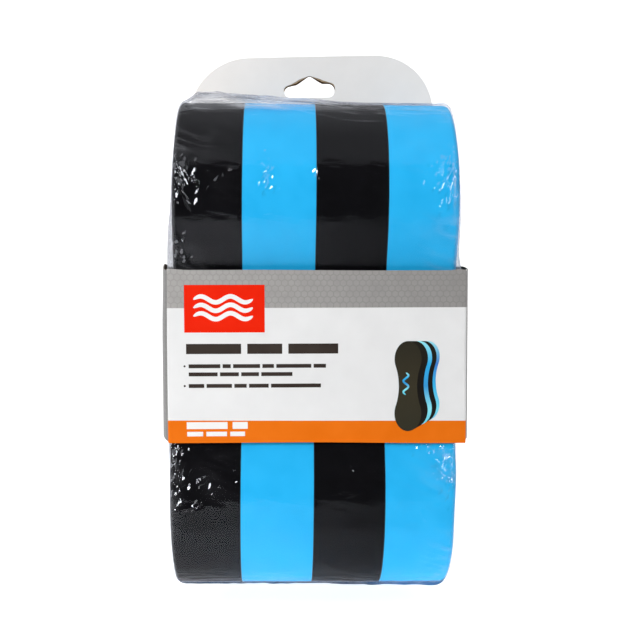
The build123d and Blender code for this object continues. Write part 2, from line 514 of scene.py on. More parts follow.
def figure_block(stations, grow, waist, lobe_steps, waist_steps, cap_columns):
    """A closed block with the float's outline: rings at the stations, and a cap at each end
    made of level rows. Returns its vertices and faces."""
    front = half_outline(0, waist, lobe_steps, waist_steps)
    rows = len(front)
    ring_size = 2 * rows - 2
    verts = []
    for x, pull in stations:
        half = half_outline(grow + pull, waist, lobe_steps, waist_steps)
        ring = np.concatenate([half, half[-2:0:-1] * (-1, 1)])
        verts.append(np.column_stack([np.full(ring_size, x), ring]))
    verts = np.concatenate(verts)
    faces = []
    for k in range(len(stations) - 1):
        for i in range(ring_size):
            j = (i + 1) % ring_size
            a, b = k * ring_size, (k + 1) * ring_size
            faces.append((a + i, a + j, b + j, b + i))
    extra = []
    count = len(verts)
    for base, outward in ((0, -1), ((len(stations) - 1) * ring_size, 1)):
        lines = []
        for i in range(rows):
            a = base + i
            b = base + (ring_size - i) % ring_size if i < rows - 1 else a
            if a == b:
                lines.append([a] * (cap_columns + 1))
                continue
            line = [a]
            for c in range(1, cap_columns):
                t = c / cap_columns
                extra.append(verts[a] * (1 - t) + verts[b] * t)
                line.append(count)
                count += 1
            lines.append(line + [b])
        for i in range(rows - 1):
            for c in range(cap_columns):
                quad = (lines[i][c], lines[i][c + 1], lines[i + 1][c + 1], lines[i + 1][c])
                quad = tuple(dict.fromkeys(quad if outward < 0 else quad[::-1]))
                faces.append(quad)
    return np.concatenate([verts, np.array(extra)]), faces


def squeeze(p):
    """How far the shrunk film pulls the float's sides in: towards both ends, a little more at
    the top than at the bottom, and most on the right of the lower lobe. Just under the sleeve
    the left side stands out."""
    x, z = p[:, 0], p[:, 2]
    outer = step(np.abs(x), 25, FLOAT_HALF) * np.sign(x)
    reach = np.where(z > 0, 0.75, 1.1) * step(np.abs(z), 62, 104)
    bulge = np.where(x < 0, 0.55, 0) * bell(z, -36, 9)
    reach += np.where(x > 0, 0.9, 0.3) * bell(z, -68, 14) - bulge
    return outer * (reach + 0.4 * np.clip(z / LOBE_HEIGHT, -1, 1))


def add_foam():
    """The four layers, each a block with its own slight unevenness."""
    start = -FLOAT_HALF
    for index, (name, thickness) in enumerate(LAYERS):
        end = start + thickness
        first = EDGE_ROUND if index == 0 else SEAM_ROUND
        last = EDGE_ROUND if index == len(LAYERS) - 1 else SEAM_ROUND
        stations = rounded_stations(start, end, first, last, 6, 5)
        verts, faces = figure_block(stations, 0, WAIST, 60, 36, 10)
        inside = step(verts[:, 0], start - 1e-3, start + 1.5)
        inside *= step(-verts[:, 0], -end - 1e-3, -end + 1.5)
        swell = 0.22 * (noise(verts / 19, 3 + index) - 0.8) * inside
        away = verts - np.array((0, 0, 1)) * np.clip(verts[:, 2:], -LOBE_HEIGHT, LOBE_HEIGHT)
        away[:, 0] = 0
        length = np.maximum(np.linalg.norm(away, axis=1), 1e-6)
        verts = verts + away / length[:, None] * swell[:, None]
        verts[:, 0] -= squeeze(verts)
        colour = name.split("_")[-1]
        piece = add_piece(name + "_foam", verts, faces, FLOAT_PLACE, [colour])
        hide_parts(name)
        start = end + BOND


# ---- Film ----
FILM_GROW = 0.12
FILM_WAIST = 30.0
FILM_ROUND = 2.0
FILM_GAP = 0.35           # between the film and the card of the sleeve's front
FILM_BACK_GAP = 0.05      # between the film and the header's facing


def crease(p, start, end, width, height):
    """A ridge in the film from start to end, both (x, z)."""
    line = np.array(end) - np.array(start)
    flat = p[:, [0, 2]] - np.array(start)
    t = np.clip(flat @ line / (line @ line), 0, 1)
    distance = np.linalg.norm(flat - t[:, None] * line, axis=1)
    taper = np.sqrt(np.clip(1 - (2 * t - 1) ** 2, 0.1, 1))
    return height * taper * np.exp(-((distance / width) ** 2))


def film_creases(p):
    """The folds that stand out one by one, on the front."""
    total = np.zeros(len(p))
    for start, end, width, height in (
        ((-58, 79), (-52, 66), 0.9, 0.40),
        ((-59, 74), (-53, 61), 0.8, 0.40),
        ((-58, 70), (-51, 58), 0.8, 0.35),
        ((-54, 75), (-51, 68), 0.7, 0.40),
        ((-50, 73), (-47.5, 66), 0.7, 0.45),
        ((-35.5, 75.2), (-33, 74), 1.0, 0.45),
        ((-42.0, 70), (-40, 66), 0.8, 0.25),
        ((-58, 44), (-50, 31), 0.9, 0.40),
        ((-59, 51), (-55, 42), 0.8, 0.35),
        ((-20.5, 72.5), (-19.5, 68), 0.8, 0.40),
        ((-18.5, 76.5), (-18, 74), 0.7, 0.35),
        ((-0.8, 73), (0.6, 70), 0.8, 0.35),
        ((52, 79), (51, 73), 0.8, 0.40),
        ((57, 76), (52.5, 68), 0.8, 0.45),
        ((58, 71), (54, 60), 0.8, 0.40),
        ((54, 72), (48.5, 67), 0.7, 0.40),
        ((53.5, 65), (51, 58), 0.8, 0.40),
        ((-59, -40), (-57, -52), 0.8, 0.45),
        ((-58, -47), (-54, -54), 0.9, 0.45),
        ((-48.5, -55.2), (-43.5, -52.8), 1.4, 0.50),
        ((-39.5, -56), (-36.5, -54.5), 0.9, 0.40),
        ((-42, -60), (-40.5, -57.5), 0.8, 0.35),
        ((-58, -66.5), (-50, -64.5), 0.8, 0.50),
        ((-45, -63.5), (-38, -65), 1.1, 0.45),
        ((-52, -68), (-44, -65), 1.2, 0.30),
        ((11.5, -45), (18.5, -54), 0.6, 0.45),
        ((-1, -86), (9, -93.5), 0.6, 0.45),
        ((4, -89), (11, -95), 0.6, 0.40),
        ((50, -45), (54, -52), 0.8, 0.40),
        ((56, -41), (53, -49), 0.8, 0.40),
        ((44.9, -65.8), (47.6, -70.9), 0.6, 0.45),
    ):
        total += crease(p, start, end, width, height)
    return total * step(-p[:, 1], 0, 6)


def film_crumple(p):
    """Where the film's front is crushed into sharp little folds: near its four corners."""
    x, y, z = p.T
    total = np.zeros(len(p))
    for cx, cz, reach_x, reach_z, amount in (
        (-57.5, 70, 4.5, 8, 1.0),
        (-48, 72, 6.0, 5, 0.10),
        (-57, 42, 3.5, 9, 0.35),
        (-20.2, 71.0, 2.6, 5.0, 1.0),
        (-18.5, 76, 1.2, 1.2, 0.5),
        (0, 74, 1.6, 2.4, 0.5),
        (55.8, 70, 3.4, 9, 1.0),
        (49, 71, 5.0, 6, 0.25),
        (-58.5, -52, 2.8, 9, 1.0),
        (-57, -42, 3.5, 3, 0.4),
        (-46, -54, 9.0, 3.0, 0.28),
        (-52, -64.5, 6.0, 2.0, 0.35),
        (55.8, -49, 3.8, 9, 1.0),
        (48, -40, 7.0, 3.5, 0.3),
    ):
        total += amount * bell(x, cx, reach_x) * bell(z, cz, reach_z)
    patchy = 0.35 + 0.65 * step(noise(p / 4.5, 61), 0.3, 0.65)
    return np.clip(total, 0, 1) * patchy * step(-y, 0, 6)


def film_pocket(x):
    """Height of the air pocket that stands over the float's top, highest at its left."""
    return 3.7 * (1 - step(x, -46, 27)) * step(x, -59.5, -51) + 0.5 * step(x, -59, -50)


def film_shape(p, normal):
    """How far the film stands off its tight shape, in millimetres, and how milky it is, with a
    painted highlight line near the right edge.
    """
    x, y, z = p.T
    side = np.clip(np.abs(normal[:, 0]) * 1.3 - 0.15, 0, 1)
    wrap = 1 - side
    edge = np.exp(-np.clip(FLOAT_HALF - np.abs(x), 0, None) / 7)
    top = step(z, 88, 104)
    bottom = step(-z, 90, 105)
    patchy = step(noise(p / 17, 8), 0.35, 0.7)
    height = 0.42 * (noise(p / 15, 11) - 0.5) + 0.20 * (noise(p / 7, 12) - 0.5)
    height += 0.07 * (noise(p / 3.6, 13) - 0.5)
    height *= 0.25 + 0.75 * wrap
    height += 0.55 * patchy * ridges(along(p, (1, 0, -0.35), 13, 2.4), 21, 4) * edge * wrap
    height += 0.30 * ridges(along(p, (0.4, 0, 1), 9, 3.0), 24, 4) * edge * wrap * patchy
    drags = ridges(along(p, (1, 0, -0.16), 24, 2.6), 22, 4) * wrap
    height += drags * (0.08 + 0.45 * top + 0.35 * bottom)
    height += 0.09 * ridges(along(p, (1, 0, 0.4), 20, 4.2), 23, 5) * wrap
    height += film_creases(p)
    # Loose on the flat sides, most beside the waist, where the sleeve's ends let it bulge.
    left = step(-x, 0, 20)
    slack = 2.35 * bell(z, 34, 20) + 0.5 * bell(z, -36, 12)
    tight = 2.4 * bell(z, 31, 7) + 0.45 * bell(z, 48, 13) + 0.3 * bell(z, -36, 14)
    slack = slack * left + tight * (1 - left)
    height += side * (0.03 + slack * (0.7 + 0.5 * noise(p / 13, 31)) + 0.08 * ridges(p / 7, 32))
    radial = np.stack([x * 0, np.arctan2(y, np.abs(z) - LOBE_HEIGHT) * 7, z * 0 + 3], 1)
    rim = step(np.hypot(y, np.abs(z) - LOBE_HEIGHT), 18, 38) * step(np.abs(z), 50, 66)
    height += 0.16 * side * rim * ridges(radial, 33, 2)
    pocket = film_pocket(x) * step(z, 96, 107) * step(-y, -40, 2)
    height += pocket * (0.72 + 0.35 * ridges(along(p, (1, 0, -0.2), 17, 3.4), 41, 2))
    streaks = ridges(along(p, (1, 0, -0.10), 30, 1.6), 42, 4)
    haze_and_painted_light = 0.16 * edge * patchy * ridges(along(p, (1, 0, -0.35), 13, 2.4), 21, 4)
    haze_and_painted_light += step(pocket, 0.6, 2.4) * (0.11 + 0.36 * streaks)
    top_milk = 0.12 + 0.16 * step(x, -38, -26)
    haze_and_painted_light += top * step(-x, -55, -10) * step(z, 99, 104) * top_milk * streaks + 0.02 * top
    haze_and_painted_light += 0.03 * step(-z, 84, 104) * streaks * wrap
    haze_and_painted_light += side * (0.08 + 0.24 * bell(z, 34, 24))
    # Painted highlight: a light line down the front near the float's right edge, on the upper lobe.
    haze_and_painted_light += 0.22 * wrap * bell(x, FLOAT_HALF - 2.4, 0.6) * bell(z, 70, 10) * step(-y, 0, 10)
    return np.maximum(height, -0.02), np.clip(haze_and_painted_light, 0, 0.9)


def add_values(mesh, name, values):
    """Stores a number or a vector for each vertex, for the materials to read."""
    single = values.ndim == 1
    stored = mesh.attributes.new(name, "FLOAT" if single else "FLOAT_VECTOR", "POINT")
    stored.data.foreach_set("value" if single else "vector", values.astype(np.float32).ravel())


def add_film():
    stations = rounded_stations(
        -FLOAT_HALF - FILM_GROW, FLOAT_HALF + FILM_GROW, FILM_ROUND, FILM_ROUND, 6, 0.75, 0.6
    )
    verts, faces = figure_block(stations, FILM_GROW, FILM_WAIST, 150, 120, 60)
    stay = Matrix.Identity(4)
    piece = add_piece("shrink_film_wrap", verts, faces, stay, ["film"])
    mesh = piece.data
    normal = np.zeros(len(verts) * 3)
    mesh.vertex_normals.foreach_get("vector", normal)
    normal = normal.reshape(-1, 3)
    height, haze_and_painted_light = film_shape(verts, normal)
    moved = verts + normal * height[:, None]
    moved[:, 0] -= squeeze(verts)
    # The sleeve holds the film in.
    within = step(moved[:, 2], SLEEVE_BOTTOM - 4, SLEEVE_BOTTOM + 2)
    within *= 1 - step(moved[:, 2], SLEEVE_TOP - 2, SLEEVE_TOP + 4)
    limit = -SLEEVE_FRONT - CARD - FILM_GAP
    clamped = np.clip(moved[:, 1], -limit, limit + 6)
    moved[:, 1] = moved[:, 1] * (1 - within) + clamped * within
    # The card's flat back holds it in behind.
    moved[:, 1] = np.minimum(moved[:, 1], FACING_FRONT - FILM_BACK_GAP)
    mesh.vertices.foreach_set("co", moved.ravel())
    mesh.transform(FLOAT_PLACE)
    # Painted shade: the film mirrors less in a band just above the sleeve, standing in for the
    # sleeve's shade, and towards the bottom right of the lower lobe, to darken it there.
    sleeve_shade = bell(verts[:, 2], SLEEVE_TOP + 0.8, 1.9)
    low_right_shade = step(verts[:, 0], -25, 25) * step(-verts[:, 2], 60, 80)
    mirror_shade = np.clip(1.3 * sleeve_shade + 0.5 * low_right_shade, 0, 1) * step(-verts[:, 1], 0, 30)
    add_values(mesh, "haze_and_painted_light", haze_and_painted_light)
    add_values(mesh, "crumple", film_crumple(verts))
    outwards = np.clip(verts[:, 0] / 30, -1, 1)
    add_values(mesh, "lean", np.outer(outwards, (0.32, 0, 0)) + (0, 0, 0.10))
    add_values(mesh, "mirror_shade", mirror_shade)
    mesh.update()
    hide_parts("shrink_film")


SEAL_THICKNESS = 0.12
SEAL_CORNER = 3.0


def add_seal():
    """The trim seal: a thin crinkled fin that stands on the film along its mid plane."""
    half_x, half_z, corner = FLOAT_HALF + FILM_GROW, FLOAT_END + FILM_GROW, SEAL_CORNER
    loop = []
    for turn, (sx, sz) in enumerate(((1, 1), (-1, 1), (-1, -1), (1, -1))):
        cx, cz = sx * (half_x - corner), sz * (half_z - corner)
        loop += arc(cx, cz, corner, 90 * turn, 90 * turn + 90, 6)
    spread = []
    for a, b in zip(loop, loop[1:] + loop[:1]):
        count = max(1, int(math.dist(a, b) / 1.0))
        spread.append(np.linspace(a, b, count, endpoint=False))
    flat = np.concatenate(spread)
    middle_line = np.column_stack([flat[:, 0], np.zeros(len(flat)), flat[:, 1]])
    inner = np.clip(flat, (corner - half_x, corner - half_z), (half_x - corner, half_z - corner))
    outward = (flat - inner) / np.linalg.norm(flat - inner, axis=1)[:, None]
    rough = noise(middle_line / 5.5, 51)
    under = step(-flat[:, 1], FLOAT_END - 6, FLOAT_END)
    rise = 0.15 + 0.5 * rough + under * (2.2 + 0.8 * step(flat[:, 0], -20, 40))
    foot = np.full(len(flat), -0.8)
    top = step(flat[:, 1], FLOAT_END - 4, FLOAT_END)
    foot += top * film_pocket(flat[:, 0]) * 0.75
    rise += top * film_pocket(flat[:, 0]) * 0.95
    pull = squeeze(middle_line)
    wave = 1.1 * (noise(middle_line / 9, 52) - 0.5)
    flutter = 1.0 * (noise(middle_line / 3.5, 53) - 0.5)
    verts = []
    for offset, sway, y_side in ((foot, 0, -1), (rise, 1, -1), (rise, 1, 1), (foot, 0, 1)):
        place = flat + outward * offset[:, None]
        y = wave + sway * flutter + y_side * SEAL_THICKNESS / 2
        verts.append(np.column_stack([place[:, 0] - pull, y, place[:, 1]]))
    verts = np.concatenate(verts)
    count = len(flat)
    faces = []
    for i in range(count):
        j = (i + 1) % count
        for k in range(4):
            a, b = k * count, ((k + 1) % 4) * count
            faces.append((a + i, a + j, b + j, b + i))
    piece = add_piece("shrink_film_seal", verts, faces, FLOAT_PLACE, ["seal"])
    # The amount of the seal's dark milk, which is painted shade; most along the bottom.
    add_values(piece.data, "haze_and_painted_light", np.tile(0.12 + 0.2 * rough + 0.5 * under, 4))
    # Where that painted shade turns blue: under the right-hand blue layer, and a little along the
    # bottom.
    add_values(piece.data, "tone", np.tile(0.7 * step(flat[:, 0], 20, 45) + 0.2 * under, 4))
    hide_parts("shrink_film")


# ---- Card ----
def front_bow(x, z):
    """Y of the sleeve's front face: it stands out a little between its folds."""
    return SLEEVE_FRONT - 0.5 * (1 - (x / SLEEVE_HALF) ** 2) - 0.15 * np.sin(z / 14 + x / 40)


def bend_header(verts):
    """The tall back panel isn't quite flat or square: it leans back most at its top left
    corner, its right side sits a little higher, and its slot is a little left of centre."""
    x, z = verts[:, 0].copy(), verts[:, 2].copy()
    rise = step(z, 96, 150)
    verts[:, 1] += 5.0 * rise * step(-x, 0, 95) + 0.8 * rise
    verts[:, 2] += 0.021 * x * step(z, 100, 126)
    verts[:, 0] -= 1.1 * np.clip(1.4 * bell(z, 119, 16) * bell(x, 0, 32), 0, 1)


BOW_LEFT = 4.5
BOW_RIGHT = 3.3
PRINT_BAND = 17.7       # bottom of the grey band
PRINT_STRIPE = -29.65   # top of the orange stripe
STRIPE_SLOPE = -0.0072
SIDE_DEPTH = 79         # of the sleeve's sides, from the front fold to the back one
SLEEVE_LOOKS = ("white", "grey", "shaded_grey", "orange", "shaded_kraft", "edge", "bare")


def sleeve_path():
    """The sleeve's strip seen from above, from the glue flap round to the back left fold:
    (x, y, outward x, outward y, part, distance from the front fold)."""
    half = SLEEVE_HALF - CARD / 2
    flap_y = FACING_FRONT + CARD / 2
    path = [(x, flap_y, 0, 1, "flap", 0) for x in np.linspace(half - FLAP_WIDTH, half - 0.6, 6)]
    for side, bow, last in ((1, BOW_RIGHT, flap_y), (-1, BOW_LEFT, BACK_FRONT + CARD / 2)):
        line = []
        for t in np.linspace(0, 1, 25):
            y = SLEEVE_FRONT + 0.7 + t * (last - SLEEVE_FRONT - 1.2)
            out = bow * math.sin(math.pi * t ** 0.85) ** 0.8
            slope = bow * math.pi / SIDE_DEPTH * math.cos(math.pi * t)
            length = math.hypot(1, slope)
            outward = (side / length, -slope / length)
            line.append((side * (half + out), y, *outward, "side", SIDE_DEPTH * t))
        if side > 0:
            path += line[::-1]
            path.append((half - 0.15, SLEEVE_FRONT + 0.35, 0.7, -0.7, "fold", 0))
            for x in np.linspace(half - 0.6, -half + 0.6, 61):
                path.append((x, SLEEVE_FRONT + CARD / 2, 0, -1, "front", 0))
            path.append((-half + 0.15, SLEEVE_FRONT + 0.35, -0.7, -0.7, "fold", 0))
        else:
            path += line
    return path


def sleeve_rows():
    rows = np.linspace(SLEEVE_BOTTOM, SLEEVE_TOP, 31)
    for level in (PRINT_BAND, PRINT_STRIPE):
        rows[np.argmin(np.abs(rows - level))] = level
    return rows


def settled(x, y, z, part, from_fold):
    """Where a point of the strip really lies: the front bows out, its stripe isn't quite level,
    and the edges of the card dip and rise a little."""
    level = z
    if part == "front":
        y += front_bow(x, z) - SLEEVE_FRONT
    if part in ("front", "fold"):
        if abs(z - PRINT_STRIPE) < 1e-6:
            level += STRIPE_SLOPE * x
        ear = 0.6 * step(x, 55, 61) - 0.9 * step(x, 61, SLEEVE_HALF) + 0.5 * step(-x, 54, 62)
        level += ear * step(z, 28, SLEEVE_TOP)
        level -= 0.4 * step(x, -30, 30) * step(z, 24, SLEEVE_TOP)
        level -= 0.9 * step(x, -10, SLEEVE_HALF) * step(-z, 31, -SLEEVE_BOTTOM)
    if part == "side":
        near_middle = bell(from_fold, 32, 14) * step(z, 22, SLEEVE_TOP)
        level += near_middle * (2.0 if x < 0 else 0.6)
        level += 0.9 * step(-z, 24, -SLEEVE_BOTTOM) * bell(from_fold, 8, 12)
        x += 0.6 * step(z, 5, SLEEVE_TOP) * bell(from_fold, 30, 30) * (x < 0)
    return x, y, level


def outside_look(part, level):
    """What the strip's outside shows in a part of it, at a level."""
    # The flap and the sides take darker copies of the card and of the print, as painted shade.
    if part == "flap":
        return "shaded_kraft"
    if part == "side":
        return "shaded_grey"
    if level > PRINT_BAND:
        return "grey"
    return "orange" if level < PRINT_STRIPE else "white"


def strip_faces(parts, rows):
    """The strip's faces, each with its look: outside, inside and the four edges."""
    columns, levels = len(parts), len(rows)
    total = columns * levels
    made = []
    for i in range(columns - 1):
        part = parts[i] if parts[i] == parts[i + 1] else "fold"
        for j in range(levels - 1):
            a, b = i * levels + j, (i + 1) * levels + j
            made.append(((a, b, b + 1, a + 1), outside_look(part, (rows[j] + rows[j + 1]) / 2)))
            # The inside takes the darker brown card, as painted shade.
            made.append(((a + total, a + 1 + total, b + 1 + total, b + total), "shaded_kraft"))
        for j, flip in ((0, True), (levels - 1, False)):
            a, b = i * levels + j, (i + 1) * levels + j
            quad = (a, b, b + total, a + total)
            made.append((quad[::-1] if flip else quad, "edge"))
    for i, flip in ((0, False), (columns - 1, True)):
        for j in range(levels - 1):
            a = i * levels + j
            quad = (a, a + 1, a + 1 + total, a + total)
            made.append((quad[::-1] if flip else quad, "edge"))
    return made


def sleeve_strip():
    """Vertices, faces, looks and flat layout of the strip: outside, inside and edges."""
    path = sleeve_path()
    rows = sleeve_rows()
    runs = [0.0]
    for here, there in zip(path, path[1:]):
        runs.append(runs[-1] + math.dist(here[:2], there[:2]))
    parts = [place[4] for place in path]
    front = [i for i, part in enumerate(parts) if part == "front"]
    front_middle = runs[front[len(front) // 2]]
    outside, inside, layout = [], [], []
    for run, (x, y, out_x, out_y, part, from_fold) in zip(runs, path):
        for z in rows:
            px, py, pz = settled(x, y, z, part, from_fold)
            for shell, offset in ((outside, CARD / 2), (inside, -CARD / 2)):
                shell.append((px + out_x * offset, py + out_y * offset, pz))
            layout.append((front_middle - run, z))
    made = strip_faces(parts, rows)
    faces = [quad for quad, _ in made]
    looks = [SLEEVE_LOOKS.index(look) for _, look in made]
    return outside + inside, faces, looks, layout * 2


def header_loop(bottom):
    """Outline of a card that ends in the header, anticlockwise from its bottom right."""
    half, corner = HEADER_HALF, HEADER_CORNER
    loop = [(SLEEVE_HALF, bottom)]
    if bottom < SLEEVE_TOP:
        loop.append((SLEEVE_HALF, SLEEVE_TOP))
    loop.append((half, HEADER_SHOULDER))
    loop += arc(half - corner, HEADER_TOP - corner, corner, 0, 90, 18)
    loop += arc(corner - half, HEADER_TOP - corner, corner, 90, 180, 18)
    loop.append((-half, HEADER_SHOULDER))
    if bottom < SLEEVE_TOP:
        loop.append((-SLEEVE_HALF, SLEEVE_TOP))
    return loop + [(-SLEEVE_HALF, bottom)]


def slot_loop(tear):
    """The hang slot: round ends, and a raised middle with a round peak. The upper edge lies
    further out by tear, most along the slopes of the raised middle."""
    bottom = SLOT_BOTTOM
    end = SLOT_HEIGHT / 2
    level = bottom + end
    reach = SLOT_WIDTH / 2 - end
    apex = SLOT_TOTAL - end + SLOT_PEAK_ROUND * 0.45
    slope = math.degrees(math.atan2(apex, SLOT_RISE_HALF))
    meet = SLOT_RISE_HALF * (1 - end / apex)
    loop = arc(reach, level, end, -90, 90, 12)
    loop += [(meet + 0.9, bottom + SLOT_HEIGHT), (meet - 0.3, bottom + SLOT_HEIGHT + 0.55)]
    peak = bottom + SLOT_TOTAL - SLOT_PEAK_ROUND
    loop += arc(0, peak, SLOT_PEAK_ROUND, 90 - slope, 90 + slope, 8)
    loop += [(0.3 - meet, bottom + SLOT_HEIGHT + 0.55), (-meet - 0.9, bottom + SLOT_HEIGHT)]
    loop = np.array(loop + arc(-reach, level, end, 90, 270, 12))
    x, upper = loop[:, 0], np.clip((loop[:, 1] - bottom) / SLOT_HEIGHT, 0, 1)
    loop[:, 1] -= 1.0 * upper * step(-x, 3.5, 10)
    slopes = bell(np.abs(x), 5.5, 2.6)
    loop[:, 1] += tear * step(upper, 0.4, 0.9) * (0.4 + 0.8 * slopes - 0.2 * bell(x, 0, 1.5))
    loop[:, 0] += 0.3 * tear * np.sign(x) * step(np.abs(x), 8, 11) * step(upper, 0.3, 0.8)
    return [(a, b) for a, b in loop]


GRID = 9                  # millimetres at most between the cuts that let a card bend


def flat_solid(loops, thickness, grid):
    """A flat plate in X-Z from outlines and holes, cut into a grid so that it can bend.
    Its front is at y = 0. Returns vertices and faces."""
    points = [[Vector((x, 0, z)) for x, z in loop] for loop in loops]
    flat = [p for loop in points for p in loop]
    bm = bmesh.new()
    made = [bm.verts.new(p) for p in flat]
    for triangle in tessellate_polygon(points):
        bm.faces.new([made[i] for i in triangle])
    low = [min(p[i] for p in flat) for i in (0, 2)]
    high = [max(p[i] for p in flat) for i in (0, 2)]
    for axis, direction, index in (((1, 0, 0), 0, 0), ((0, 0, 1), 2, 1)):
        count = int((high[index] - low[index]) / grid)
        for cut in range(1, count + 1):
            place = [0, 0, 0]
            place[direction] = low[index] + cut * (high[index] - low[index]) / (count + 1)
            whole = bm.verts[:] + bm.edges[:] + bm.faces[:]
            bmesh.ops.bisect_plane(bm, geom=whole, plane_co=place, plane_no=axis, dist=1e-5)
    bm.normal_update()
    for face in bm.faces:
        if face.normal.y > 0:
            face.normal_flip()
    top = list(bm.faces)
    copied = bmesh.ops.duplicate(bm, geom=top)
    back = [g for g in copied["geom"] if isinstance(g, bmesh.types.BMFace)]
    moved = {v for f in back for v in f.verts}
    pair = copied["vert_map"]
    for v in moved:
        v.co.y += thickness
    for face in back:
        face.normal_flip()
    rim = [e for f in top for e in f.edges if len(e.link_faces) == 1]
    for edge in rim:
        loop = edge.link_loops[0]
        a, b = loop.vert, loop.link_loop_next.vert
        bm.faces.new((b, a, pair[a], pair[b]))
    bm.verts.index_update()
    verts = [tuple(v.co) for v in bm.verts]
    faces = [tuple(v.index for v in f.verts) for f in bm.faces]
    bm.free()
    return np.array(verts), faces


def flat_solids(shapes, thickness, grid):
    """Several flat plates as one mesh. Each shape is a list of loops, in X and Z."""
    verts, faces = np.zeros((0, 3)), []
    for loops in shapes:
        more, more_faces = flat_solid(loops, thickness, grid)
        faces += [tuple(i + len(verts) for i in face) for face in more_faces]
        verts = np.concatenate([verts, more])
    return verts, faces


def plate_sides(verts, faces, thickness):
    """For each face of a flat solid: 0 if it is on the front, 1 on the back, 2 on the rim."""
    sides = []
    for face in faces:
        ys = [verts[i][1] for i in face]
        if max(ys) < thickness / 2:
            sides.append(0)
        elif min(ys) > thickness / 2:
            sides.append(1)
        else:
            sides.append(2)
    return sides


def add_print_layer(piece, layout):
    """Stores a flat layout, one (u, v) for each vertex, as the layer named print."""
    layer = piece.data.uv_layers.new(name="print")
    for loop in piece.data.loops:
        layer.data[loop.index].uv = layout[loop.vertex_index]


def bent_plate(loops, front):
    verts, faces = flat_solid(loops, CARD, GRID)
    sides = plate_sides(verts, faces, CARD)
    verts[:, 1] += front
    bend_header(verts)
    return verts, faces, sides


def add_card(name, verts, faces, materials, face_material=None):
    return add_piece(name, verts, faces, CARD_PLACE, materials, face_material, smooth=False)


def add_sleeve():
    """The printed sleeve, with the tall back panel that carries the header."""
    verts, faces, looks, layout = sleeve_strip()
    back_loop = header_loop(SLEEVE_BOTTOM)
    plate, plate_faces, sides = bent_plate([back_loop, slot_loop(0)], BACK_FRONT)
    count = len(verts)
    for face, side in zip(plate_faces, sides):
        level = np.mean([plate[i][2] for i in face])
        # Below the sleeve's top the panel lies in the sleeve's shade; its faces there take the
        # darker copies of the grey print and of the brown card, as painted shade.
        outer = "shaded_grey" if level < SLEEVE_TOP else "white"
        inner = "shaded_kraft" if level < SLEEVE_TOP else "bare"
        looks.append(SLEEVE_LOOKS.index((inner, outer, "edge")[side]))
    all_verts = [tuple(v) for v in verts] + [tuple(v) for v in plate]
    all_faces = faces + [tuple(i + count for i in face) for face in plate_faces]
    sleeve = add_card("card_sleeve_printed", all_verts, all_faces, SLEEVE_LOOKS, looks)
    add_print_layer(sleeve, layout + [(place[0], place[2]) for place in plate])
    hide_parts("card_sleeve")


def add_facing():
    """The header's white facing."""
    loops = [header_loop(FACING_BOTTOM), slot_loop(SLOT_TEAR)]
    verts, faces, sides = bent_plate(loops, FACING_FRONT)
    materials = ["header", "shaded_kraft", "edge"]
    facing = add_card("header_facing_card", verts, faces, materials, sides)
    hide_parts("header_facing")


def add_header_glue():
    """The strips of glue between the facing and the back panel."""
    strips = [[rectangle(-GLUE_HALF, z, GLUE_HALF, z + GLUE_WIDTH)] for z in GLUE_LEVELS]
    verts, faces = flat_solids(strips, GLUE, GRID)
    verts[:, 1] += FACING_FRONT + CARD
    bend_header(verts)
    glue = add_card("header_glue_strips", verts, faces, ["glue"])
    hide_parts("header_facing_glue")


def upper_edge(tear):
    return [point for point in slot_loop(tear) if point[1] > SLOT_BOTTOM + SLOT_HEIGHT / 2]


def add_slot_edge_shade():
    """A thin near-black strip along the upper edge of the back panel's slot: painted shade on
    the slot's edge.
    """
    inner, outer = upper_edge(0), upper_edge(SLOT_DARK)
    count = min(len(inner), len(outer))
    verts, faces = flat_solid([inner[:count] + outer[:count][::-1]], SLOT_SHADE_THICKNESS, GRID)
    verts[:, 1] += BACK_FRONT - SLOT_SHADE_FRONT
    bend_header(verts)
    add_card("slot_edge_shade_strip", verts, faces, ["slot_shade"])


# ---- Print on the sleeve's front ----
INK = 0.03
INK_GAP = 0.01


def add_print(name, shapes, material, level):
    """A thin layer of ink on the front of the sleeve. shapes are lists of loops, in X and Z,
    and level says how many layers of ink lie under it."""
    verts, faces = flat_solids(shapes, INK, 6)
    low, high = verts[:, 2].min(), verts[:, 2].max()
    layout = [(0, (z - low) / (high - low)) for z in verts[:, 2]]
    verts[:, 1] += front_bow(verts[:, 0], verts[:, 2]) - INK * (level + 1) - INK_GAP
    add_print_layer(add_card(name, verts, faces, [material]), layout)


def rectangle(left, bottom, right, top):
    return [(left, bottom), (right, bottom), (right, top), (left, top)]


def word_bars(left, middle, height, letter, words):
    """Bars in place of words: one for each, as long as that many letters."""
    bars = []
    x = left
    for letters in words:
        length = letters * letter
        bars.append([rectangle(x, middle - height / 2, x + length, middle + height / 2)])
        x += length + 0.62 * letter
    return bars


def wave_ribbon(cx, cz, length, rise, width, turned=False):
    """A wavy ribbon with round crests, as one loop; turned stands it upright."""
    t = np.linspace(0, 1, 41)
    x = (t - 0.5) * length
    z = rise * np.sin(t * 4 * math.pi)
    slope = rise * 4 * math.pi / length * np.cos(t * 4 * math.pi)
    size = np.hypot(1, slope)
    taper = width / 2 * np.sqrt(np.clip(1 - (2 * t - 1) ** 8, 0.05, 1))
    upper = np.stack([x - slope / size * taper, z + taper / size], 1)
    lower = np.stack([x + slope / size * taper, z - taper / size], 1)
    loop = np.concatenate([lower, upper[::-1]])
    if turned:
        loop = np.stack([loop[:, 1], -loop[:, 0]], 1)
    return [(cx + a, cz + b) for a, b in loop]


